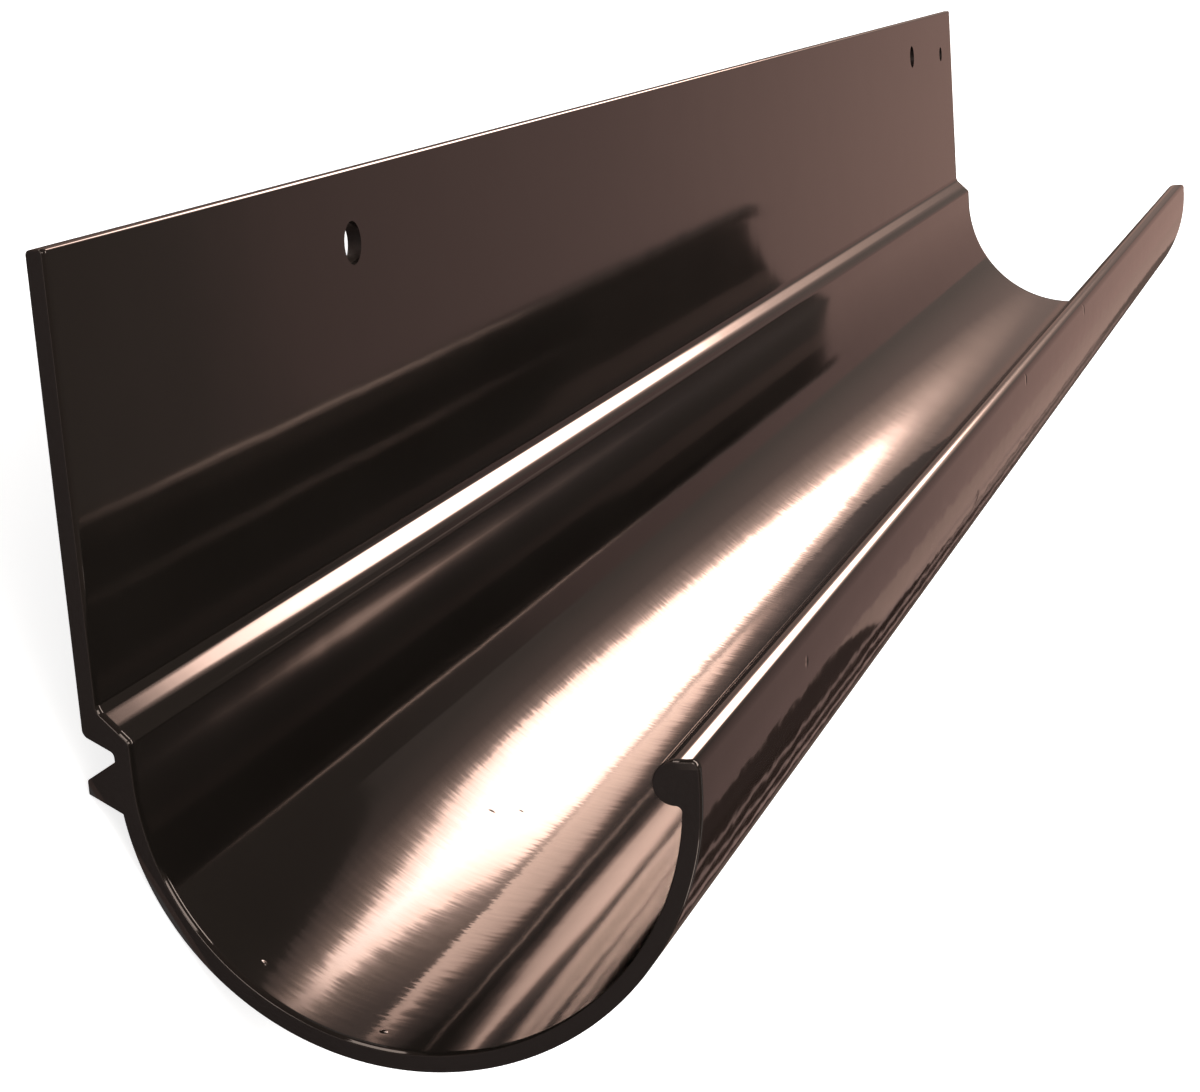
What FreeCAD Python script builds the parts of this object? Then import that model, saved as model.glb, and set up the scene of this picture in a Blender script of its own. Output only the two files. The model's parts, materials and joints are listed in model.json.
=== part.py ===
"""Gutter section: one length of extruded half-round eaves gutter, cut square at both ends.

One piece of metal: a half-round trough, a front lip that ends in a solid bead, a rear wall
that steps back into a tall fixing flange, and a tapered rib behind the trough that stands
level with the flange's back, so that the section bears on a fascia board at two heights.

Millimetres.  The section is drawn as it is fixed to a wall: X along the gutter, +Y to the
wall, +Z up, with the centre of the trough's half circle at the origin.  The finished piece
is then rolled on to its back, because that is how a loose length comes to rest on a floor.
"""
import FreeCAD, Part
import math
import os
import Sketcher

V = FreeCAD.Vector

# ---------------------------------------------------------------- driving dimensions
SIZES = [
    # alias, value, what it is
    ("stock_length", 914.4, "length of the piece, 36 inches"),
    ("wall", 3.2, "thickness of trough and flange"),
    ("inner_radius", 50.0, "inside radius of the half-round trough"),
    ("bead_radius", 3.85, "radius of the solid bead on the front lip"),
    ("bead_inset", 4.35, "bead's centre behind the lip's front face"),
    ("bead_rise", 0.5, "bead's centre above the trough's centre"),
    ("lip_round", 1.5, "round on the lip's top front corner"),
    ("neck_round", 1.1, "hollow under the bead"),
    ("shoulder_height", 5.8, "foot of the step above the trough's centre"),
    ("step_depth", 5.7, "flange's front face behind the trough's inner face"),
    ("step_angle", 45.0, "slope of the step, degrees"),
    ("step_wall", 3.6, "thickness of the sloping step"),
    ("shoulder_round", 1.5, "round on the foot of the step, inside"),
    ("step_hollow", 3.0, "hollow at the head of the step, inside"),
    ("heel_round", 1.8, "round at the head of the step, behind"),
    ("back_hollow", 1.2, "hollow at the foot of the step, behind"),
    ("flange_height", 92.8, "flange's top edge above the trough's centre"),
    ("flange_round", 0.8, "round on the flange's two top corners"),
    ("rib_drop", 2.4, "middle of the rib's tip below the trough's centre"),
    ("rib_tip", 2.6, "height of the flat tip of the rib"),
    ("rib_slope", 30.0, "slope of the rib's two flanks, degrees"),
    ("rib_round", 0.4, "round on the rib's two tip corners"),
    ("end_break", 0.3, "round that breaks every edge of both cut ends"),
    ("fixing_bore", 9.5, "diameter of the two fixing holes"),
    ("fixing_drop", 15.9, "fixing holes below the flange's top edge"),
    ("near_fixing", 137.5, "first fixing hole from the near end"),
    ("far_fixing", 103.5, "second fixing hole from the far end"),
    ("tie_bore", 6.5, "diameter of the small hole at the far end"),
    ("tie_drop", 19.0, "small hole below the flange's top edge"),
    ("far_tie", 29.5, "small hole from the far end"),
]

doc = FreeCAD.newDocument("gutter_section")
sheet = doc.addObject("Spreadsheet::Sheet", "sizes")
for row, (alias, value, meaning) in enumerate(SIZES, start=1):
    sheet.set("A%d" % row, meaning)
    sheet.set("B%d" % row, str(value))
    sheet.setAlias("B%d" % row, alias)
doc.recompute()
size = {alias: float(sheet.get(alias)) for alias, _, _ in SIZES}

body = doc.addObject("PartDesign::Body", "gutter_section")
body.Label = "gutter_section"


# ---------------------------------------------------------------- sketch helpers
START, END, CENTRE = 1, 2, 3
ORIGIN = (-1, START)


def new_sketch(name, role):
    """A sketch on the body's own origin plane that has this role."""
    sketch = body.newObject("Sketcher::SketchObject", name)
    plane = next(f for f in body.Origin.OriginFeatures if f.Role == role)
    sketch.AttachmentSupport = [(plane, "")]
    sketch.MapMode = "FlatFace"
    return sketch


def bound(sketch, name, formula, *constraint):
    """A named dimension of the sketch that follows a formula on the sheet."""
    index = sketch.addConstraint(Sketcher.Constraint(*constraint))
    sketch.renameConstraint(index, name)
    sketch.setExpression("Constraints." + name, formula)


def polar(radius, degrees):
    turn = math.radians(degrees)
    return V(radius * math.cos(turn), radius * math.sin(turn), 0)


def arc(centre, radius, start, end):
    """Arc that runs anticlockwise from start to end, in degrees."""
    circle = Part.Circle(centre, V(0, 0, 1), radius)
    return Part.ArcOfCircle(circle, math.radians(start), math.radians(end))


# ---------------------------------------------------------------- the section
# Drawn with sharp corners, which the rounds below then take off.  The outline runs
# anticlockwise from the foot of the lip's front face: round the outside of the trough, over
# the rib, up the flange's back, down its front, round the inside and over the bead.
(TROUGH_OUT, RIB_UNDER, RIB_TIP, RIB_TOP, WALL_OUT, STEP_BACK, FLANGE_BACK, FLANGE_TOP,
 FLANGE_FRONT, STEP_FRONT, WALL_IN, TROUGH_IN, BEAD, LIP_TOP, LIP_FRONT) = range(15)


def outline(s):
    """The section's edges in that order, placed where the constraints will hold them."""
    inner = s["inner_radius"]
    outer = inner + s["wall"]
    front = inner + s["step_depth"]
    back = front + s["wall"]
    step_slope = math.tan(math.radians(s["step_angle"]))
    step_lift = s["step_wall"] / math.cos(math.radians(s["step_angle"]))
    flank_slope = math.tan(math.radians(s["rib_slope"]))
    tip_low = -s["rib_drop"] - s["rib_tip"] / 2
    tip_high = tip_low + s["rib_tip"]

    # the rib's lower flank runs on from its tip until it meets the trough's outside
    tip = V(back, tip_low, 0)
    flank = polar(-1, s["rib_slope"])
    reach = -tip.dot(flank) - math.sqrt(tip.dot(flank) ** 2 - tip.dot(tip) + outer ** 2)
    root = tip + flank * reach
    root_turn = math.degrees(math.atan2(root.y, root.x))

    # the bead's circle crosses the trough's inside below the bead
    bead = V(s["bead_inset"] - outer, s["bead_rise"], 0)
    bead_turn = math.degrees(math.atan2(bead.y, bead.x))
    spread = math.degrees(math.acos((inner ** 2 + bead.dot(bead) - s["bead_radius"] ** 2)
                                    / (2 * inner * bead.Length)))
    neck = polar(inner, bead_turn + spread)
    neck_turn = math.degrees(math.atan2(neck.y - bead.y, neck.x - bead.x))
    lip_height = bead.y + s["bead_radius"]

    def step_back(y):
        return s["shoulder_height"] - step_lift + (y - inner) * step_slope

    corners = [root, tip, V(back, tip_high, 0), V(outer, tip_high + (back - outer) * flank_slope, 0),
               V(outer, step_back(outer), 0), V(back, step_back(back), 0),
               V(back, s["flange_height"], 0), V(front, s["flange_height"], 0),
               V(front, s["shoulder_height"] + s["step_depth"] * step_slope, 0),
               V(inner, s["shoulder_height"], 0), V(inner, 0, 0)]
    lip = [V(bead.x, lip_height, 0), V(-outer, lip_height, 0), V(-outer, 0, 0)]
    return ([arc(V(0, 0, 0), outer, 180, 360 + root_turn)]
            + [Part.LineSegment(a, b) for a, b in zip(corners, corners[1:])]
            + [arc(V(0, 0, 0), inner, bead_turn + spread, 360)]
            + [arc(bead, s["bead_radius"], neck_turn, 90)]
            + [Part.LineSegment(a, b) for a, b in zip(lip, lip[1:])])


section = new_sketch("section", "YZ_Plane")
section.addGeometry(outline(size), False)
section.addConstraint(
    [Sketcher.Constraint("Coincident", edge, END, edge + 1, START)
     for edge in range(TROUGH_OUT, WALL_IN)]
    + [Sketcher.Constraint("Tangent", WALL_IN, END, TROUGH_IN, END),
       Sketcher.Constraint("Coincident", TROUGH_IN, START, BEAD, START),
       Sketcher.Constraint("Tangent", BEAD, END, LIP_TOP, START),
       Sketcher.Constraint("Coincident", LIP_TOP, END, LIP_FRONT, START),
       Sketcher.Constraint("Tangent", LIP_FRONT, END, TROUGH_OUT, START),
       Sketcher.Constraint("Coincident", TROUGH_OUT, CENTRE, *ORIGIN),
       Sketcher.Constraint("Coincident", TROUGH_IN, CENTRE, *ORIGIN),
       Sketcher.Constraint("Horizontal", FLANGE_TOP),
       Sketcher.Constraint("Horizontal", LIP_TOP),
       Sketcher.Constraint("Parallel", STEP_BACK, STEP_FRONT),
       # the rib's tip stands level with the flange's back
       Sketcher.Constraint("PointOnObject", RIB_TIP, START, FLANGE_BACK)]
    + [Sketcher.Constraint("Vertical", edge) for edge in
       (RIB_TIP, WALL_OUT, FLANGE_BACK, FLANGE_FRONT, WALL_IN, LIP_FRONT)])

outer_radius = size["inner_radius"] + size["wall"]
for name, formula, *constraint in (
        ("inner_radius", "sizes.inner_radius", "Radius", TROUGH_IN, size["inner_radius"]),
        ("outer_radius", "sizes.inner_radius + sizes.wall", "Radius", TROUGH_OUT, outer_radius),
        ("rear_wall", "sizes.inner_radius + sizes.wall",
         "DistanceX", *ORIGIN, WALL_OUT, START, outer_radius),
        ("flange_wall", "sizes.wall", "DistanceX", FLANGE_TOP, END, FLANGE_TOP, START, size["wall"]),
        ("flange_height", "sizes.flange_height",
         "DistanceY", *ORIGIN, FLANGE_TOP, START, size["flange_height"]),
        ("shoulder_height", "sizes.shoulder_height",
         "DistanceY", *ORIGIN, STEP_FRONT, END, size["shoulder_height"]),
        ("step_depth", "sizes.step_depth",
         "DistanceX", STEP_FRONT, END, STEP_FRONT, START, size["step_depth"]),
        ("step_angle", "sizes.step_angle * 1 deg",
         "Angle", STEP_BACK, math.radians(size["step_angle"])),
        ("step_wall", "sizes.step_wall", "Distance", STEP_BACK, START, STEP_FRONT, size["step_wall"]),
        ("rib_tip", "sizes.rib_tip", "DistanceY", RIB_TIP, START, RIB_TIP, END, size["rib_tip"]),
        ("rib_foot", "sizes.rib_drop + sizes.rib_tip / 2",
         "DistanceY", RIB_TIP, START, *ORIGIN, size["rib_drop"] + size["rib_tip"] / 2),
        ("rib_under_slope", "sizes.rib_slope * 1 deg",
         "Angle", RIB_UNDER, math.radians(size["rib_slope"])),
        ("rib_top_slope", "180 deg - sizes.rib_slope * 1 deg",
         "Angle", RIB_TOP, math.pi - math.radians(size["rib_slope"])),
        ("bead_radius", "sizes.bead_radius", "Radius", BEAD, size["bead_radius"]),
        ("bead_rise", "sizes.bead_rise", "DistanceY", *ORIGIN, BEAD, CENTRE, size["bead_rise"]),
        ("bead_inset", "sizes.bead_inset",
         "DistanceX", LIP_TOP, END, BEAD, CENTRE, size["bead_inset"])):
    bound(section, name, formula, *constraint)

stock = body.newObject("PartDesign::Pad", "stock")
stock.Profile = section
stock.setExpression("Length", "sizes.stock_length")
section.Visibility = False
doc.recompute()


# ---------------------------------------------------------------- rounds along the length
def long_edges(feature, corners):
    """Names of the feature's edges that run along X through these corners of the section."""
    names = []
    for edge, end in corners:
        point = section.getPoint(edge, end)
        for number, candidate in enumerate(feature.Shape.Edges, start=1):
            ends = [v.Point for v in candidate.Vertexes]
            if all(math.hypot(p.y - point.x, p.z - point.y) < 1e-4 for p in ends):
                names.append("Edge%d" % number)
    return names


solid = stock
for name, *corners in (
        ("lip_round", (LIP_TOP, END)),
        ("neck_round", (BEAD, START)),
        ("shoulder_round", (STEP_FRONT, END)),
        ("step_hollow", (STEP_FRONT, START)),
        ("heel_round", (FLANGE_BACK, START)),
        ("back_hollow", (STEP_BACK, START)),
        ("flange_round", (FLANGE_TOP, START), (FLANGE_TOP, END)),
        ("rib_round", (RIB_TIP, START), (RIB_TIP, END))):
    fillet = body.newObject("PartDesign::Fillet", name)
    fillet.Base = (solid, long_edges(solid, corners))
    fillet.setExpression("Radius", "sizes." + name)
    doc.recompute()
    solid = fillet


# ---------------------------------------------------------------- deburred ends
def end_edges(feature):
    """Names of the edges round the two square-cut ends."""
    names = []
    for number, edge in enumerate(feature.Shape.Edges, start=1):
        xs = [vertex.X for vertex in edge.Vertexes]
        if max(xs) - min(xs) < 0.01:
            names.append("Edge%d" % number)
    return names


deburr = body.newObject("PartDesign::Fillet", "deburred_ends")
deburr.Base = (solid, end_edges(solid))
deburr.setExpression("Radius", "sizes.end_break")
doc.recompute()


# ---------------------------------------------------------------- holes in the flange
def drill(name, bore, drop, places):
    """Round holes through the flange, at these distances along the gutter."""
    marks = new_sketch(name + "_marks", "XZ_Plane")
    for number, (formula, distance) in enumerate(places):
        height = size["flange_height"] - size[drop]
        circle = Part.Circle(V(distance, height, 0), V(0, 0, 1), size[bore] / 2)
        marks.addGeometry(circle, False)
        bound(marks, "along_%d" % number, formula,
              "DistanceX", *ORIGIN, number, CENTRE, distance)
        bound(marks, "height_%d" % number, "sizes.flange_height - sizes." + drop,
              "DistanceY", *ORIGIN, number, CENTRE, height)
        bound(marks, "bore_%d" % number, "sizes." + bore, "Diameter", number, size[bore])
    hole = body.newObject("PartDesign::Hole", name)
    hole.Profile = marks
    doc.recompute()
    hole.DepthType = "ThroughAll"
    hole.setExpression("Diameter", "sizes." + bore)
    marks.Visibility = False
    doc.recompute()
    return hole


drill("fixing_holes", "fixing_bore", "fixing_drop",
      [("sizes.near_fixing", size["near_fixing"]),
       ("sizes.stock_length - sizes.far_fixing", size["stock_length"] - size["far_fixing"])])
drill("tie_hole", "tie_bore", "tie_drop",
      [("sizes.stock_length - sizes.far_tie", size["stock_length"] - size["far_tie"])])


# ---------------------------------------------------------------- at rest on the floor
def resting_roll(s):
    """Degrees that the section rolls back until rib and trough both touch the floor.

    The floor is then the common tangent of the trough's outside, a circle of the outer
    radius about the origin, and of the small round on the rib's lower tip corner.
    """
    outer = s["inner_radius"] + s["wall"]
    slope = math.radians(s["rib_slope"])
    y = outer + s["step_depth"] - s["rib_round"]
    z = -s["rib_drop"] - s["rib_tip"] / 2 + s["rib_round"] * (1 - math.sin(slope)) / math.cos(slope)
    reach = math.hypot(y, z)
    floor_side = math.atan2(z, y) - math.acos((outer - s["rib_round"]) / reach)
    return 90 + math.degrees(floor_side)


body.Placement = FreeCAD.Placement(V(0, 0, 0), FreeCAD.Rotation(V(1, 0, 0), -resting_roll(size)))
doc.recompute()
box = body.Shape.optimalBoundingBox(False, False)
body.Placement.Base = V(-box.Center.x, -box.Center.y, -box.ZMin)
doc.recompute()


# ---------------------------------------------------------------- checks and export
for item in doc.Objects:
    if "Invalid" in item.State or "Error" in item.State:
        raise RuntimeError("%s failed: %s" % (item.Name, item.State))
shape = body.Shape
if shape.isNull() or not shape.isValid() or len(shape.Solids) != 1:
    raise RuntimeError("gutter_section is not one valid solid")

os.makedirs("parts", exist_ok=True)
shape.exportStep("parts/gutter_section.step")
print("roll %.2f degrees, volume %.1f mm3" % (resting_roll(size), shape.Volume))
print("centroid", shape.Solids[0].CenterOfMass, "box", shape.optimalBoundingBox(False, False))
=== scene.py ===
"""A length of half-round gutter with a nailing flange, lying on a studio floor as it comes to rest.

Metres and radians throughout. X runs along the gutter from its near end, with one hole in the
flange, to its far end, with two. The trough's lip faces -Y, the flange leans over to +Y.
"""
import json
import math

import bmesh
import bpy
from mathutils import Matrix, Vector


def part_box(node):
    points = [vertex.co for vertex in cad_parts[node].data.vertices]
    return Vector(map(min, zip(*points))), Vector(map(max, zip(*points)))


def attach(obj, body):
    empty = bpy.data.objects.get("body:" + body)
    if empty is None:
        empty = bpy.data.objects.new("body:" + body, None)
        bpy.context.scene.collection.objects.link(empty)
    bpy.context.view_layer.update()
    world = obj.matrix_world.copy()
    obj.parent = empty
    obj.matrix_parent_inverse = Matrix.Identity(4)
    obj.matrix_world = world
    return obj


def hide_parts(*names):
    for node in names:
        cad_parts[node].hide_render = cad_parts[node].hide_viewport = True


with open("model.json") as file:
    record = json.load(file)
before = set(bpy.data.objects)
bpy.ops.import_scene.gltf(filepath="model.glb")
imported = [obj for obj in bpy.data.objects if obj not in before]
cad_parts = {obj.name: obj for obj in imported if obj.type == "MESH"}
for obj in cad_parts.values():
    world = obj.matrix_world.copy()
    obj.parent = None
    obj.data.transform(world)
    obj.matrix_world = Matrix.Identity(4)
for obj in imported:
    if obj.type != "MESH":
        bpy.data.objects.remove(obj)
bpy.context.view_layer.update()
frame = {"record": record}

# --- Camera ---------------------------------------------------------------------------------
# A long lens close over the near end of the trough, looking down into it, and rolled until the
# flange stands upright in the picture, as it does on a wall.
CAMERA_PLACE = Vector((-0.86688, 0.00815, 0.26767))
LOOKING = Vector((0.93033, -0.04447, -0.36419)).normalized()
PICTURE_UP = Vector((0.2279, 0.8480, 0.4786))
SENSOR_WIDTH = 36.0
LENS = 81.289

camera_data = bpy.data.cameras.new("camera")
camera_data.sensor_width = SENSOR_WIDTH
camera_data.lens = LENS
camera_data.clip_start = 0.01
camera = bpy.data.objects.new("camera", camera_data)
bpy.context.scene.collection.objects.link(camera)
across = LOOKING.cross(PICTURE_UP).normalized()
upward = across.cross(LOOKING)
camera.matrix_world = Matrix.Translation(CAMERA_PLACE) @ Matrix(
    (across, upward, -LOOKING)).transposed().to_4x4()
bpy.context.scene.camera = camera
bpy.context.scene.view_settings.view_transform = "Standard"

# --- Floor ----------------------------------------------------------------------------------
# A white studio floor that runs out of sight on every side and keeps the gutter's soft shadow.
# It is lifted towards white for the camera alone, so the gutter gets no more light.
FLOOR_SPAN = 60.0
FLOOR_DROP = 0.0002
FLOOR_PAINT = (0.86, 0.86, 0.86, 1)
FLOOR_LIFT = 0.78


def new_material(name):
    """A node material without nodes, and its node tree."""
    material = bpy.data.materials.new(name)
    material.use_nodes = True
    material.node_tree.nodes.clear()
    return material, material.node_tree


def wire(tree, kind, feeds=(), **options):
    """Adds a node, sets its options and feeds its inputs from values or from other outputs."""
    node = tree.nodes.new(kind)
    for option, value in options.items():
        setattr(node, option, value)
    for socket, source in dict(feeds).items():
        if isinstance(source, bpy.types.NodeSocket):
            tree.links.new(source, node.inputs[socket])
        else:
            node.inputs[socket].default_value = source
    return node


def plain_sheet(name, width, depth):
    """A flat rectangle in the XY plane, centred on the origin and facing up."""
    bm = bmesh.new()
    bmesh.ops.create_grid(bm, x_segments=1, y_segments=1, size=0.5)
    bmesh.ops.scale(bm, verts=bm.verts, vec=(width, depth, 1))
    mesh = bpy.data.meshes.new(name)
    bm.to_mesh(mesh)
    bm.free()
    sheet = bpy.data.objects.new(name, mesh)
    bpy.context.scene.collection.objects.link(sheet)
    return sheet


floor = plain_sheet("floor", FLOOR_SPAN, FLOOR_SPAN)
floor.location.z = -FLOOR_DROP
white, tree = new_material("floor_white")
paint = wire(tree, "ShaderNodeBsdfDiffuse", {"Color": FLOOR_PAINT})
seen = wire(tree, "ShaderNodeLightPath").outputs["Is Camera Ray"]
lift = wire(tree, "ShaderNodeMath", {0: seen, 1: FLOOR_LIFT}, operation="MULTIPLY")
glow = wire(tree, "ShaderNodeEmission", {
    "Color": (1, 1, 1, 1), "Strength": lift.outputs["Value"]})
both = wire(tree, "ShaderNodeAddShader", {
    0: paint.outputs["BSDF"], 1: glow.outputs["Emission"]})
wire(tree, "ShaderNodeOutputMaterial", {"Surface": both.outputs["Shader"]})
floor.data.materials.append(white)

# --- Light ----------------------------------------------------------------------------------
# Soft daylight from all round and a soft lamp overhead. A glossy dark coat shows what stands
# round it, so a room of brown cards with one bright window is set out for reflections alone.
DAYLIGHT = (1.0, 0.97, 0.94, 1)
DAYLIGHT_STRENGTH = 0.75

world = bpy.data.worlds.new("studio")
world.use_nodes = True
bpy.context.scene.world = world
tree = world.node_tree
tree.nodes.clear()
daylight = wire(tree, "ShaderNodeBackground", {
    "Color": DAYLIGHT, "Strength": DAYLIGHT_STRENGTH})
blank = wire(tree, "ShaderNodeBackground", {"Color": (1, 1, 1, 1), "Strength": 1.0})
path = wire(tree, "ShaderNodeLightPath").outputs
straight = wire(tree, "ShaderNodeMath", {
    0: path["Is Camera Ray"], 1: path["Is Transmission Ray"]}, operation="MAXIMUM")
mirrored = wire(tree, "ShaderNodeMath", {
    0: straight.outputs["Value"], 1: path["Is Glossy Ray"]}, operation="MAXIMUM")
choice = wire(tree, "ShaderNodeMixShader", {
    "Fac": mirrored.outputs["Value"], 1: daylight.outputs["Background"],
    2: blank.outputs["Background"]})
wire(tree, "ShaderNodeOutputWorld", {"Surface": choice.outputs["Shader"]})

overhead_lamp = bpy.data.lights.new("overhead_soft", "AREA")
overhead_lamp.shape = "RECTANGLE"
overhead_lamp.size = 3.0
overhead_lamp.size_y = 3.0
overhead_lamp.energy = 60.0
overhead = bpy.data.objects.new("overhead_soft", overhead_lamp)
bpy.context.scene.collection.objects.link(overhead)
overhead.location = (0.3, -0.6, 2.6)
overhead.visible_glossy = False


def reflection_card(name, centre, width, height, facing, colour, strength=1.0):
    """A glowing card that lights nothing and shows in reflections alone."""
    card = plain_sheet(name, width, height)
    turn = Vector(facing).to_track_quat("Z", "Y")
    card.matrix_world = Matrix.Translation(centre) @ turn.to_matrix().to_4x4()
    material, tree = new_material(name)
    glow = wire(tree, "ShaderNodeEmission", {"Color": (*colour, 1), "Strength": strength})
    glow.name = "glow"
    wire(tree, "ShaderNodeOutputMaterial", {"Surface": glow.outputs["Emission"]})
    card.data.materials.append(material)
    card.visible_camera = False
    card.visible_diffuse = False
    card.visible_shadow = False
    return card


def fading_colour(card, centre, half_size, stops):
    """A colour that changes outward from a box on a card: each stop is a distance and a colour."""
    tree = card.data.materials[0].node_tree
    furthest = stops[-1][0]
    place = wire(tree, "ShaderNodeTexCoord")
    offset = wire(tree, "ShaderNodeVectorMath", {
        0: place.outputs["Object"], 1: card.matrix_world.inverted() @ Vector(centre)},
        operation="SUBTRACT")
    offset = wire(tree, "ShaderNodeVectorMath", {0: offset.outputs["Vector"]},
                  operation="ABSOLUTE")
    outside = wire(tree, "ShaderNodeVectorMath", {
        0: offset.outputs["Vector"], 1: (*half_size, 0)}, operation="SUBTRACT")
    outside = wire(tree, "ShaderNodeVectorMath", {0: outside.outputs["Vector"], 1: (0, 0, 0)},
                   operation="MAXIMUM")
    away = wire(tree, "ShaderNodeVectorMath", {0: outside.outputs["Vector"]}, operation="LENGTH")
    share = wire(tree, "ShaderNodeMath", {0: away.outputs["Value"], 1: furthest},
                 operation="DIVIDE")
    ramp = wire(tree, "ShaderNodeValToRGB", {"Fac": share.outputs["Value"]})
    for distance, _ in stops[1:-1]:
        ramp.color_ramp.elements.new(distance / furthest)
    for element, (_, colour) in zip(ramp.color_ramp.elements, stops):
        element.color = (*colour, 1)
    return ramp.outputs["Color"]


def colour_glow(card, colour):
    """Gives a card's glow a colour that changes over the card."""
    tree = card.data.materials[0].node_tree
    tree.links.new(colour, tree.nodes["glow"].inputs["Color"])


# The far wall is warm and lit low down, and dim above.
BACKDROP_X = 4.5
backdrop = reflection_card("brown_backdrop", (BACKDROP_X, 0.1, 1.9), 7.8, 3.8, (-1, 0, 0),
                           (1, 1, 1))
colour_glow(backdrop, fading_colour(backdrop, (BACKDROP_X, 0.0, 0.1), (0.5, 0.1), [
    (0.0, (0.52, 0.325, 0.27)), (0.5, (0.43, 0.265, 0.225)), (1.0, (0.33, 0.205, 0.18)),
    (1.72, (0.27, 0.17, 0.15)), (2.0, (0.16, 0.115, 0.10)), (2.4, (0.125, 0.095, 0.08)),
    (3.4, (0.11, 0.085, 0.07))]))

# The window in it is a bright opening with a soft glow round it. After a second bounce less of
# it shows, as if things in the room stood in the way of what leaves the trough's far side.
WINDOW_X = BACKDROP_X - 0.05
WINDOW_CENTRE = (WINDOW_X, 1.64, 1.32)
WINDOW_STRENGTH = 14.0
SECOND_BOUNCE = 1.5
window = reflection_card("window", WINDOW_CENTRE, 3.4, 2.6, (-1, 0, 0), (1, 1, 1),
                         WINDOW_STRENGTH)
first_colour = fading_colour(window, WINDOW_CENTRE, (0.36, 0.47), [
    (0.0, (1.0, 0.80, 0.71)), (0.31, (0.74, 0.49, 0.395)), (0.37, (0.28, 0.185, 0.15)),
    (0.45, (0.13, 0.088, 0.072)), (0.6, (0.065, 0.044, 0.036)), (0.8, (0.030, 0.021, 0.018)),
    (1.25, (0.019, 0.0145, 0.0125))])
later_colour = fading_colour(window, (WINDOW_X, 1.55, 1.72), (0.32, 0.40), [
    (0.0, (0.80, 0.53, 0.42)), (0.10, (0.70, 0.45, 0.36)), (0.17, (0.26, 0.165, 0.13)),
    (0.24, (0.10, 0.068, 0.058)), (0.5, (0.028, 0.021, 0.019)), (0.9, (0.019, 0.0145, 0.0125))])
tree = window.data.materials[0].node_tree
bounces = wire(tree, "ShaderNodeLightPath").outputs["Glossy Depth"]
later = wire(tree, "ShaderNodeMath", {0: bounces, 1: SECOND_BOUNCE}, operation="GREATER_THAN")
by_bounce = wire(tree, "ShaderNodeMix", {
    0: later.outputs["Value"], 6: first_colour, 7: later_colour}, data_type="RGBA")
colour_glow(window, by_bounce.outputs[2])

# The floor is brown to a reflection, with dark boards by the gutter and in front of its lip, and
# three pale slats that draw long thin lines on the underside of the front.
FACING_UP = (0, 0, 1)
reflection_card("brown_floor", (0.25, 0.1, 0.001), 8.5, 7.8, FACING_UP, (0.45, 0.29, 0.24))
reflection_card("dark_by_gutter", (0.2, -0.04, 0.002), 2.4, 0.36, FACING_UP,
                (0.13, 0.09, 0.075))
reflection_card("dark_by_lip", (-0.35, -0.68, 0.0025), 1.5, 1.08, FACING_UP,
                (0.030, 0.018, 0.015))
board = reflection_card("dark_board", (1.9, -1.44, 0.002), 3.9, 1.15, FACING_UP,
                        (0.045, 0.028, 0.024))
board.rotation_euler.z = math.radians(-20)
for number, (y, width) in enumerate(((-0.155, 0.012), (-0.195, 0.014), (-0.27, 0.03))):
    reflection_card(f"brown_slat_{number}", (-0.1, y, 0.004), 2.0, width, FACING_UP,
                    (0.34, 0.22, 0.19))

# The rest of the room, which the other views mirror: brown walls with soft panels on them.
ROOM = (0.20, 0.14, 0.115)
ROOM_BEHIND = (0.30, 0.21, 0.175)
PANEL = (1.0, 0.80, 0.70)
for name, centre, width, height, facing, colour, strength in (
        ("room_ceiling", (0, 0, 5.0), 12, 12, (0, 0, -1), ROOM, 1.0),
        ("room_behind", (-5.0, 0, 2.5), 12, 5, (1, 0, 0), ROOM_BEHIND, 1.0),
        ("room_left", (0, 5.6, 2.5), 12, 5, (0, -1, 0), ROOM, 1.0),
        ("room_right", (0, -5.6, 2.5), 12, 5, (0, 1, 0), ROOM, 1.0),
        ("panel_behind", (-4.8, 1.2, 2.6), 3.0, 1.6, (1, 0, 0), PANEL, 7.0),
        ("panel_left", (-1.2, 5.3, 2.2), 5.0, 1.8, (0, -1, 0), PANEL, 5.0),
        ("panel_right", (-1.2, -5.3, 2.2), 5.0, 1.8, (0, 1, 0), PANEL, 5.0),
        ("panel_high", (4.2, -1.0, 4.8), 1.6, 3.6, (0, 0, -1), PANEL, 7.0),
        ("panel_above", (-1.5, -0.4, 4.7), 3.2, 1.4, (0, 0, -1), PANEL, 6.0)):
    reflection_card(name, centre, width, height, facing, colour, strength)

# --- The gutter section -----------------------------------------------------------------------
# One length of aluminium pushed through a die, then coated a glossy dark bronze: a half-round
# trough with a beaded front lip, a stepped wall behind, a seating rib and a tall nailing flange.
# It is drawn here as it hangs on a wall, section first, then laid down as it comes to rest.
WALL = 0.0032
INNER_RADIUS = 0.050
OUTER_RADIUS = INNER_RADIUS + WALL
BEAD_RADIUS = 0.00385
BEAD_INSET = 0.00435
BEAD_RISE = 0.0005
LIP_ROUND = 0.0015
NECK_ROUND = 0.0011
SHOULDER = 0.0058
STEP_DEPTH = 0.0057
STEP_ANGLE = math.radians(45)
STEP_WALL = 0.0036
SHOULDER_ROUND = 0.0015
STEP_HOLLOW = 0.0030
HEEL_ROUND = 0.0018
BACK_HOLLOW = 0.0012
FLANGE_HEIGHT = 0.0928
FLANGE_ROUND = 0.0008
RIB_DROP = 0.0024
RIB_TIP = 0.0026
RIB_SLOPE = math.radians(30)
RIB_ROUND = 0.0004
END_BREAK = 0.0003
ARC_STEP = math.radians(1.5)
ROUND_STEPS = 8
DRILL_DEPTH = 0.02
DRILL_SIDES = 64

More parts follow.
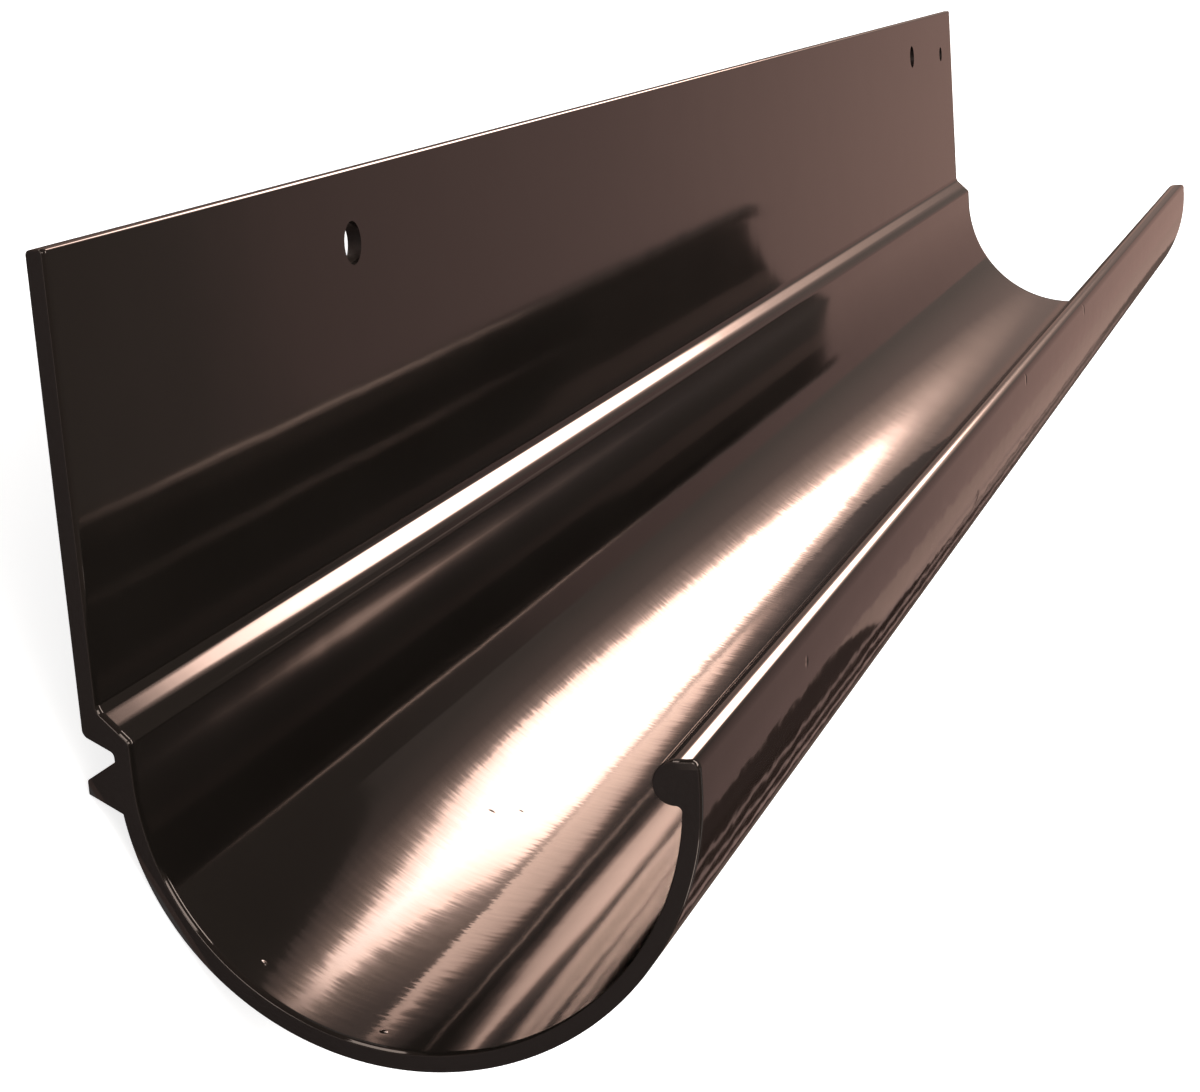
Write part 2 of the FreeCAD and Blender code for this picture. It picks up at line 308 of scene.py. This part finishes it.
FLANGE_FACE = INNER_RADIUS + STEP_DEPTH
BACK_FACE = FLANGE_FACE + WALL
STEP_RISE = STEP_DEPTH * math.tan(STEP_ANGLE)
STEP_LIFT = STEP_WALL / math.cos(STEP_ANGLE)


def run_on(bm, end, step):
    """Draws the outline on from its end by one straight step, and gives the new end."""
    new_end = bmesh.ops.extrude_vert_indiv(bm, verts=[end])["verts"][0]
    bmesh.ops.translate(bm, verts=[new_end], vec=(0, *step))
    return new_end


def run_to(bm, end, place):
    """Draws the outline straight on to a place in the section."""
    return run_on(bm, end, (place[0] - end.co.y, place[1] - end.co.z))


def swing_on(bm, end, centre, angle):
    """Swings the outline on round a centre. A turn that is positive goes from +Y towards +Z."""
    steps = max(2, round(abs(angle) / ARC_STEP))
    swung = bmesh.ops.spin(bm, geom=[end], cent=(0, *centre), axis=(1, 0, 0),
                           angle=angle, steps=steps)
    return swung["geom_last"][0]


def bearing(origin, place):
    """The angle at which a place is seen from an origin, from +Y towards +Z."""
    return math.atan2(place[1] - origin[1], place[0] - origin[0])


def draw_section(bm):
    """The closed outline of the section in the YZ plane, +Y towards the wall it hangs on."""
    trough = (0.0, 0.0)
    bead = (BEAD_INSET - OUTER_RADIUS, BEAD_RISE)
    lip_top = BEAD_RISE + BEAD_RADIUS
    # The neck's round touches the trough's inside and the bead's underside.
    to_bead = math.hypot(*bead)
    from_trough = INNER_RADIUS - NECK_ROUND
    from_bead = BEAD_RADIUS + NECK_ROUND
    spread = math.acos((to_bead ** 2 + from_trough ** 2 - from_bead ** 2)
                       / (2 * to_bead * from_trough))
    neck_bearing = bearing(trough, bead) % math.tau + spread
    neck = (from_trough * math.cos(neck_bearing), from_trough * math.sin(neck_bearing))
    # The rib slopes down and back from the trough at its own angle.
    rib_low = -RIB_DROP - RIB_TIP / 2
    slope = (-math.cos(RIB_SLOPE), -math.sin(RIB_SLOPE))
    along = -(BACK_FACE * slope[0] + rib_low * slope[1])
    gap = math.sqrt(along ** 2 - BACK_FACE ** 2 - rib_low ** 2 + OUTER_RADIUS ** 2)
    root = (BACK_FACE + slope[0] * (along - gap), rib_low + slope[1] * (along - gap))
    rib_top = rib_low + RIB_TIP
    rib_back = rib_top + (BACK_FACE - OUTER_RADIUS) * math.tan(RIB_SLOPE)
    step_back = SHOULDER - STEP_LIFT + WALL * math.tan(STEP_ANGLE)
    heel = step_back + WALL * math.tan(STEP_ANGLE)

    start = end = bm.verts.new((0, -OUTER_RADIUS, 0))
    end = swing_on(bm, end, trough, math.pi + bearing(trough, root))
    corners = []
    for place, radius in (
            ((BACK_FACE, rib_low), RIB_ROUND), ((BACK_FACE, rib_top), RIB_ROUND),
            ((OUTER_RADIUS, rib_back), 0), ((OUTER_RADIUS, step_back), BACK_HOLLOW),
            ((BACK_FACE, heel), HEEL_ROUND),
            ((BACK_FACE, FLANGE_HEIGHT), FLANGE_ROUND),
            ((FLANGE_FACE, FLANGE_HEIGHT), FLANGE_ROUND),
            ((FLANGE_FACE, SHOULDER + STEP_RISE), STEP_HOLLOW),
            ((INNER_RADIUS, SHOULDER), SHOULDER_ROUND), ((INNER_RADIUS, 0), 0)):
        end = run_to(bm, end, place)
        if radius:
            corners.append((end, radius))
    end = swing_on(bm, end, trough, neck_bearing - math.tau)
    end = swing_on(bm, end, neck, -((neck_bearing - bearing(neck, bead)) % math.tau))
    end = swing_on(bm, end, bead, (math.pi / 2 - bearing(bead, end.co.yz)) % math.tau)
    end = run_to(bm, end, (-OUTER_RADIUS, lip_top))
    corners.append((end, LIP_ROUND))
    bmesh.ops.contextual_create(bm, geom=[end, start])
    for corner, radius in corners:
        ahead, behind = (edge.other_vert(corner).co - corner.co for edge in corner.link_edges)
        setback = radius / math.tan(ahead.angle(behind) / 2)
        bmesh.ops.bevel(bm, geom=[corner], offset=setback, offset_type="OFFSET",
                        segments=ROUND_STEPS, profile=0.5, affect="VERTICES", material=-1)
    bmesh.ops.edgeloop_fill(bm, edges=bm.edges)


mounts = {mount["name"]: mount for mount in frame["record"]["mounts"]}
box_low, box_high = (Vector(corner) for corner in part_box("gutter_section"))
LENGTH = box_high.x - box_low.x

# The section is pushed out to its length, and the edges of both cuts are broken.
bm = bmesh.new()
draw_section(bm)
pushed = bmesh.ops.extrude_face_region(bm, geom=bm.faces[:])
far_verts = [part for part in pushed["geom"] if isinstance(part, bmesh.types.BMVert)]
bmesh.ops.translate(bm, verts=far_verts, vec=(LENGTH, 0, 0))
bmesh.ops.recalc_face_normals(bm, faces=bm.faces)
ends = [face for face in bm.faces if abs(face.normal.x) > 0.9]
rims = {edge for face in ends for edge in face.edges}
bmesh.ops.bevel(bm, geom=list(rims), offset=END_BREAK, offset_type="OFFSET", segments=2,
                profile=0.5, affect="EDGES", material=-1, clamp_overlap=True)

# Laid down on the trough and the rib: the flange's outward direction is the holes' axis.
out_axis = Vector(mounts["tie_hole"]["axis"])
lie = math.atan2(-out_axis.z, -out_axis.y)
bmesh.ops.rotate(bm, verts=bm.verts, cent=(0, 0, 0), matrix=Matrix.Rotation(lie, 3, "X"))
low = [min(vert.co[axis] for vert in bm.verts) for axis in range(3)]
high = [max(vert.co[axis] for vert in bm.verts) for axis in range(3)]
middle = (box_low + box_high) / 2
drawn_origin = Vector((
    box_low.x - low[0], middle.y - (low[1] + high[1]) / 2, box_low.z - low[2]))
bmesh.ops.translate(bm, verts=bm.verts, vec=drawn_origin)
mesh = bpy.data.meshes.new("gutter")
bm.to_mesh(mesh)
bm.free()
gutter = bpy.data.objects.new("gutter", mesh)
bpy.context.scene.collection.objects.link(gutter)

# Two fixing holes and a smaller tie hole go through the flange.
for name in ("near_fixing_hole", "far_fixing_hole", "tie_hole"):
    mount = mounts[name]
    radius = mount["dims"]["r_mm"] / 1000
    bm = bmesh.new()
    bmesh.ops.create_cone(bm, cap_ends=True, segments=DRILL_SIDES, radius1=radius,
                          radius2=radius, depth=DRILL_DEPTH)
    turn = Vector(mount["axis"]).to_track_quat("Z", "Y").to_matrix().to_4x4()
    bmesh.ops.transform(bm, matrix=Matrix.Translation(mount["pos_m"]) @ turn, verts=bm.verts)
    drill_mesh = bpy.data.meshes.new("drill")
    bm.to_mesh(drill_mesh)
    bm.free()
    drill = bpy.data.objects.new("drill", drill_mesh)
    bpy.context.scene.collection.objects.link(drill)
    cut = gutter.modifiers.new("cut", "BOOLEAN")
    cut.operation = "DIFFERENCE"
    cut.solver = "EXACT"
    cut.object = drill
    bpy.context.view_layer.update()
    cut_mesh = bpy.data.meshes.new_from_object(
        gutter.evaluated_get(bpy.context.evaluated_depsgraph_get()))
    gutter.modifiers.clear()
    gutter.data = cut_mesh
    bpy.data.objects.remove(drill)

mesh = gutter.data
for polygon in mesh.polygons:
    polygon.use_smooth = True
mesh.set_sharp_from_angle(angle=math.radians(50))
weighted = gutter.modifiers.new("weighted_normals", "WEIGHTED_NORMAL")
weighted.keep_sharp = True
weighted.weight = 50

# The coat is a glossy dark bronze paint over the drawn metal. Its skin carries fine ripples across
# the girth, die lines along the length, a fat edge at both cuts, dust nibs and light scuffs.
BRONZE_DEEP = (0.0075, 0.0058, 0.0048, 1)
BRONZE_LIGHT = (0.0100, 0.0080, 0.0066, 1)
BRONZE_SAWN = (0.013, 0.0092, 0.0086, 1)
GLOSS_ROUGHNESS = (0.05, 0.075)
MOTTLE_LOW = 0.3
MOTTLE_HIGH = 0.7
SAWN_ROUGHNESS = 0.42
SAW_DEPTH = 0.00005
COMB = 0.065
DIE_LINES = 0.008
WAVES = 0.006
SAGS = 0.085
FAT_EDGE = 0.55
FAT_EDGE_WIDTH = 0.0022
# The lip's top is crowned from this place forward, and leans out by this much at its front.
CROWN_TOP = 0.0041 - OUTER_RADIUS
CROWN_LEAN = 1.12
# The step's slope leans back in its upper part and turns down to the trough in its lower part.
STEP_LEAN_HIGH = -0.095
STEP_LEAN_LOW = 0.30


def skin_ripple(name):
    """A node group that tilts the skin's normal, by shares given, across the girth and along it."""
    group = bpy.data.node_groups.new(name, "ShaderNodeTree")
    for socket in ("Place", "Normal"):
        group.interface.new_socket(socket, in_out="INPUT", socket_type="NodeSocketVector")
    for socket in ("Length", "Comb", "Die Lines", "Waves", "Sags", "Fat Edge"):
        group.interface.new_socket(socket, in_out="INPUT", socket_type="NodeSocketFloat")
    group.interface.new_socket("Normal", in_out="OUTPUT", socket_type="NodeSocketVector")
    given = wire(group, "NodeGroupInput").outputs
    where = wire(group, "ShaderNodeSeparateXYZ", {"Vector": given["Place"]}).outputs

    def reckon(operation, first, *others):
        """Applies one operation to a number and to each of the others in turn."""
        for other in others:
            first = wire(group, "ShaderNodeMath", {0: first, 1: other},
                         operation=operation).outputs["Value"]
        return first

    def fade(value, start, end, low=0.0, high=1.0, manner="SMOOTHSTEP"):
        """Goes from low, where a value is at its start, to high, where it is at its end."""
        return wire(group, "ShaderNodeMapRange", {
            "Value": value, "From Min": start, "From Max": end, "To Min": low, "To Max": high},
            interpolation_type=manner).outputs["Result"]

    def patch(along, across, detail, strength):
        """Centred noise with its own grain along the gutter and round it, times a strength."""
        spread = wire(group, "ShaderNodeMapping", {
            "Vector": given["Place"], "Scale": (1 / along, 1 / across, 1 / across)})
        noise = wire(group, "ShaderNodeTexNoise", {
            "Vector": spread.outputs["Vector"], "Scale": 1.0, "Detail": detail,
            "Roughness": 0.55})
        centred = reckon("SUBTRACT", noise.outputs["Fac"], 0.5)
        return reckon("MULTIPLY", centred, strength)

    def tilt(direction, amount):
        """A direction times an amount."""
        return wire(group, "ShaderNodeVectorMath", {0: direction, "Scale": amount},
                    operation="SCALE").outputs["Vector"]

    # The comb lies at the bottom and back of the trough: the rest came straighter out of the die.
    comb = reckon(
        "MULTIPLY", patch(along=0.0010, across=0.006, detail=1.0, strength=given["Comb"]),
        fade(where["Z"], -0.004, -0.016), fade(where["Y"], 0.042, 0.026),
        fade(where["Y"], -0.002, 0.010, low=0.10))
    # Die lines run the whole length, and are deeper in the front flank.
    lines = reckon(
        "MULTIPLY", patch(along=0.9, across=0.0011, detail=2.0, strength=given["Die Lines"]),
        fade(where["Y"], 0.008, -0.004, low=1.0, high=1.9))
    wave = patch(along=0.012, across=0.020, detail=2.0, strength=given["Waves"])
    sway = patch(along=0.030, across=0.016, detail=1.0, strength=given["Waves"])

    # The turn of the step's slope is kept off its back, the trough's wall and the flange.
    inner_side = reckon("GREATER_THAN", reckon("SUBTRACT", where["Z"], where["Y"]),
                        SHOULDER - INNER_RADIUS - 0.0010)
    step_lean = reckon(
        "MULTIPLY",
        fade(where["Y"], INNER_RADIUS + 0.55 * STEP_DEPTH, INNER_RADIUS + 0.20 * STEP_DEPTH,
             low=STEP_LEAN_HIGH, high=STEP_LEAN_LOW),
        inner_side, reckon("GREATER_THAN", where["Y"], INNER_RADIUS + 0.0004),
        fade(where["Y"], FLANGE_FACE - 0.0004, FLANGE_FACE - 0.0014))

    # Outside, the coat has sagged into short ragged waves below the lip.
    in_section = wire(group, "ShaderNodeVectorMath", {0: given["Place"], 1: (0, 1, 1)},
                      operation="MULTIPLY")
    from_axis = wire(group, "ShaderNodeVectorMath", {0: in_section.outputs["Vector"]},
                     operation="LENGTH")
    sags = reckon(
        "MULTIPLY", patch(along=0.008, across=0.0035, detail=2.5, strength=given["Sags"]),
        fade(from_axis.outputs["Value"], OUTER_RADIUS - 0.0008, OUTER_RADIUS - 0.0004,
             manner="LINEAR"),
        fade(where["Z"], 0.002, -0.003, manner="LINEAR"))

    # The coat draws back from each cut, so its last millimetres roll over towards the end.
    half = reckon("MULTIPLY", given["Length"], 0.5)
    off_middle = reckon("SUBTRACT", where["X"], half)
    side = wire(group, "ShaderNodeMath", {0: off_middle}, operation="SIGN").outputs["Value"]
    reach = wire(group, "ShaderNodeMath", {0: off_middle}, operation="ABSOLUTE").outputs["Value"]
    to_cut = reckon("SUBTRACT", half, reach)
    roll = reckon("MULTIPLY", side, fade(
        to_cut, FAT_EDGE_WIDTH, END_BREAK, high=given["Fat Edge"]))

    # The lip's top is crowned: its normal leans out further, the nearer it is to the front.
    crown = reckon("MULTIPLY",
                   fade(where["Y"], CROWN_TOP, -OUTER_RADIUS, high=CROWN_LEAN, manner="LINEAR"),
                   reckon("GREATER_THAN", where["Z"], 0.003))

    girth = wire(group, "ShaderNodeVectorMath", {0: (1, 0, 0), 1: given["Normal"]},
                 operation="CROSS_PRODUCT").outputs["Vector"]
    normal = given["Normal"]
    for lean in (tilt((0, -math.cos(lie), -math.sin(lie)), crown),
                 tilt(girth, reckon("ADD", comb, sags, step_lean, lines, sway)),
                 tilt((1, 0, 0), reckon("ADD", roll, wave))):
        normal = wire(group, "ShaderNodeVectorMath", {0: normal, 1: lean},
                      operation="ADD").outputs["Vector"]
    unit = wire(group, "ShaderNodeVectorMath", {0: normal}, operation="NORMALIZE")
    wire(group, "NodeGroupOutput", {"Normal": unit.outputs["Vector"]})
    return group


coat, tree = new_material("bronze_coat")
place = wire(tree, "ShaderNodeTexCoord").outputs["Object"]
# Read as the section is drawn: X from the near end, Y towards the wall, Z up.
hung = wire(tree, "ShaderNodeMapping", {
    "Vector": place, "Location": drawn_origin, "Rotation": (lie, 0, 0)},
    vector_type="TEXTURE").outputs["Vector"]
skin = wire(tree, "ShaderNodeNewGeometry").outputs
ripple = tree.nodes.new("ShaderNodeGroup")
ripple.node_tree = skin_ripple("skin_ripple")
tree.links.new(hung, ripple.inputs["Place"])
tree.links.new(skin["Normal"], ripple.inputs["Normal"])
for socket, amount in (("Length", LENGTH), ("Comb", COMB), ("Die Lines", DIE_LINES),
                       ("Waves", WAVES), ("Sags", SAGS), ("Fat Edge", FAT_EDGE)):
    ripple.inputs[socket].default_value = amount

# Sawn ends are matter and browner than the faces that came out of the die.
facing = wire(tree, "ShaderNodeSeparateXYZ", {"Vector": skin["True Normal"]})
endways = wire(tree, "ShaderNodeMath", {0: facing.outputs["X"]}, operation="ABSOLUTE")
sawn = wire(tree, "ShaderNodeMapRange", {
    "Value": endways.outputs["Value"], "From Min": 0.55, "From Max": 0.95}).outputs["Result"]
mottle = wire(tree, "ShaderNodeTexNoise", {
    "Vector": place, "Scale": 14.0, "Detail": 4.0}).outputs["Fac"]
tone = wire(tree, "ShaderNodeValToRGB", {"Fac": mottle})
tone.color_ramp.elements[0].position = MOTTLE_LOW
tone.color_ramp.elements[0].color = BRONZE_DEEP
tone.color_ramp.elements[1].position = MOTTLE_HIGH
tone.color_ramp.elements[1].color = BRONZE_LIGHT
end_tone = wire(tree, "ShaderNodeMix", {
    0: sawn, 6: tone.outputs["Color"], 7: BRONZE_SAWN}, data_type="RGBA")
gloss = wire(tree, "ShaderNodeMapRange", {
    "Value": mottle, "From Min": MOTTLE_LOW, "From Max": MOTTLE_HIGH,
    "To Min": GLOSS_ROUGHNESS[0], "To Max": GLOSS_ROUGHNESS[1]})
end_gloss = wire(tree, "ShaderNodeMix", {
    0: sawn, 2: gloss.outputs["Result"], 3: SAWN_ROUGHNESS})
grain = wire(tree, "ShaderNodeTexNoise", {
    "Vector": place, "Scale": 900.0, "Detail": 3.0})
saw_marks = wire(tree, "ShaderNodeMath", {0: grain.outputs["Fac"], 1: sawn},
                 operation="MULTIPLY")
relief = wire(tree, "ShaderNodeMath", {0: saw_marks.outputs["Value"], 1: SAW_DEPTH},
              operation="MULTIPLY").outputs["Value"]

# Two dust nibs under the coat stand proud by the near end. Two scuffs in the trough go in, and so
# do a scratch and a dent on the front and two nicks at the lip's front edge. Each has its place
# as drawn, its radius and its height.
for spot, radius, height in (((0.009, 0.033, -0.038), 0.0008, 0.00022),
                             ((0.007, 0.010, -0.049), 0.0008, 0.00022),
                             ((0.111, 0.025, -0.0433), 0.0012, -0.00006),
                             ((0.118, 0.021, -0.0454), 0.0009, -0.00005),
                             ((0.298, -0.0508, -0.016), 0.0035, -0.0003),
                             ((0.081, -0.0532, -0.001), 0.0016, -0.00012),
                             ((0.380, -0.0532, 0.0022), 0.0020, -0.0004),
                             ((0.520, -0.0532, 0.0022), 0.0022, -0.0004)):
    away = wire(tree, "ShaderNodeVectorMath", {0: hung, 1: spot}, operation="DISTANCE")
    mark = wire(tree, "ShaderNodeMapRange", {
        "Value": away.outputs["Value"], "From Min": radius, "From Max": 0.0,
        "To Min": 0.0, "To Max": height}, interpolation_type="SMOOTHSTEP")
    relief = wire(tree, "ShaderNodeMath", {0: relief, 1: mark.outputs["Result"]},
                  operation="ADD").outputs["Value"]
bump = wire(tree, "ShaderNodeBump", {
    "Strength": 1.0, "Distance": 1.0, "Height": relief, "Normal": ripple.outputs["Normal"]})
shader = wire(tree, "ShaderNodeBsdfPrincipled", {
    "Base Color": end_tone.outputs[2], "Roughness": end_gloss.outputs[0],
    "Normal": bump.outputs["Normal"], "IOR": 1.5})
wire(tree, "ShaderNodeOutputMaterial", {"Surface": shader.outputs["BSDF"]})
mesh.materials.append(coat)
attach(gutter, "root")
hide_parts("gutter_section")
